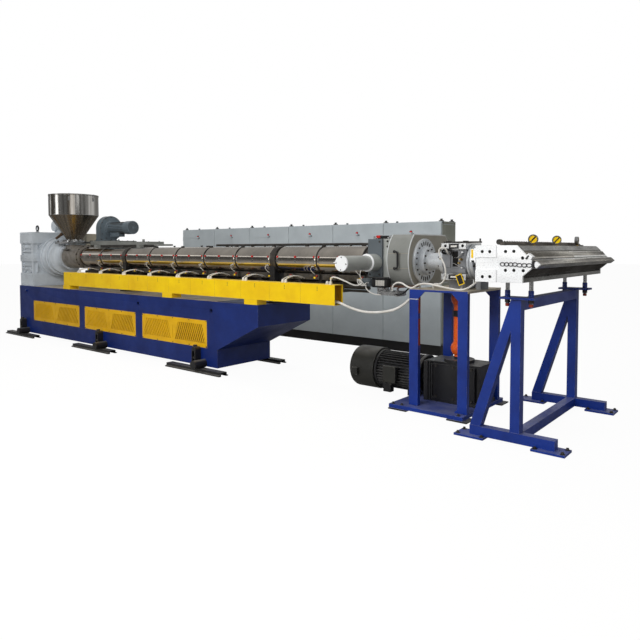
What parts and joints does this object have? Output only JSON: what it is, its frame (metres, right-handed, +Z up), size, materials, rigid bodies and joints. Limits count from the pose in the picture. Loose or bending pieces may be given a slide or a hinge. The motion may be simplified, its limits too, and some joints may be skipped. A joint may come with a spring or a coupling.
{
  "type": "plastic sheet extrusion line",
  "caption": "Extrusion line: gearbox, hopper and heated barrel on a blue base frame, screen changer, melt pump with shaft drive, wide flat die on a stand, and a row of cabinets.",
  "frame": {"origin": "middle of the plan, on the floor", "axes": "+X along the line from gearbox to die lip, +Y across the line towards the cabinets, +Z up"},
  "size_m": [10.244, 3.884, 2.5526],
  "materials": {
    "base_blue": "semi-gloss",
    "black_paint": "satin",
    "blower_grey": "satin",
    "cabinet_grey": "satin",
    "cable_white": "satin",
    "cardan_orange": "gloss",
    "dark_steel": "satin",
    "gear_grey": "satin",
    "guard_grey": "satin",
    "machined_steel": "machined",
    "motor_beige": "satin",
    "polished_cover": "polished",
    "stainless": "brushed",
    "tray_yellow": "semi-gloss"
  },
  "bodies": {
    "line": {"base_frame": "base_blue", "louvre_panels": "tray_yellow", "levelling_jacks": "black_paint", "gearbox_housing": "gear_grey", "drive_motor": "motor_beige", "bearing_flange": "gear_grey", "feed_section": "dark_steel", "hopper_throat": "machined_steel", "hopper": "stainless", "hopper_lid": "stainless", "barrel": "dark_steel", "heater_covers": "polished_cover", "barrel_supports": "black_paint", "under_channel": "dark_steel", "blower_duct": "blower_grey", "blower_housing": "blower_grey", "cable_tray": "tray_yellow", "tray_covers": "tray_yellow", "tray_feet": "tray_yellow", "gland_leads": "cable_white", "screen_changer": "blower_grey", "hydraulic_cylinder": "guard_grey", "instruments": "black_paint", "guard_drum": "guard_grey", "adapter_neck": "machined_steel", "melt_pump": "dark_steel", "die_adapter": "machined_steel", "die_lower": "machined_steel", "die_upper": "machined_steel", "die_ends": "machined_steel", "die_bolts": "dark_steel", "die_gauges": "machined_steel", "die_supports": "dark_steel", "die_stand_frames": "base_blue", "pump_stand": "base_blue", "pump_base": "base_blue", "pump_gearbox": "black_paint", "pump_motor": "black_paint", "tray_cable": "cable_white", "die_cable": "cable_white", "pump_lead": "cable_white", "gland_cable": "cable_white", "cabinet_roof": "cabinet_grey", "cabinet_floor": "black_paint", "cabinet_back": "cabinet_grey", "cabinet_uprights": "cabinet_grey"},
    "door_1": {"cabinet_door_1": "cabinet_grey"},
    "door_2": {"cabinet_door_2": "cabinet_grey"},
    "door_3": {"cabinet_door_3": "cabinet_grey"},
    "door_4": {"cabinet_door_4": "cabinet_grey"},
    "door_5": {"cabinet_door_5": "cabinet_grey"},
    "door_6": {"cabinet_door_6": "cabinet_grey"},
    "cardan": {"cardan_shaft": "cardan_orange"}
  },
  "joints": [
    {"name": "door_1_hinge", "type": "hinge", "parent": "line", "child": "door_1", "pos_m": [-3.589, 1.492, 1], "axis": [0, 0, -1], "range_deg": [0, 110]},
    {"name": "door_2_hinge", "type": "hinge", "parent": "line", "child": "door_2", "pos_m": [-2.589, 1.492, 1], "axis": [0, 0, -1], "range_deg": [0, 110]},
    {"name": "door_3_hinge", "type": "hinge", "parent": "line", "child": "door_3", "pos_m": [-1.589, 1.492, 1], "axis": [0, 0, -1], "range_deg": [0, 110]},
    {"name": "door_4_hinge", "type": "hinge", "parent": "line", "child": "door_4", "pos_m": [-0.589, 1.492, 1], "axis": [0, 0, -1], "range_deg": [0, 110]},
    {"name": "door_5_hinge", "type": "hinge", "parent": "line", "child": "door_5", "pos_m": [0.411, 1.492, 1], "axis": [0, 0, -1], "range_deg": [0, 110]},
    {"name": "door_6_hinge", "type": "hinge", "parent": "line", "child": "door_6", "pos_m": [1.411, 1.492, 1], "axis": [0, 0, -1], "range_deg": [0, 110]},
    {"name": "cardan_spin", "type": "hinge", "parent": "line", "child": "cardan", "pos_m": [3.828, -0.799, 0.8], "axis": [0, 0, 1], "continuous": true}
  ]
}
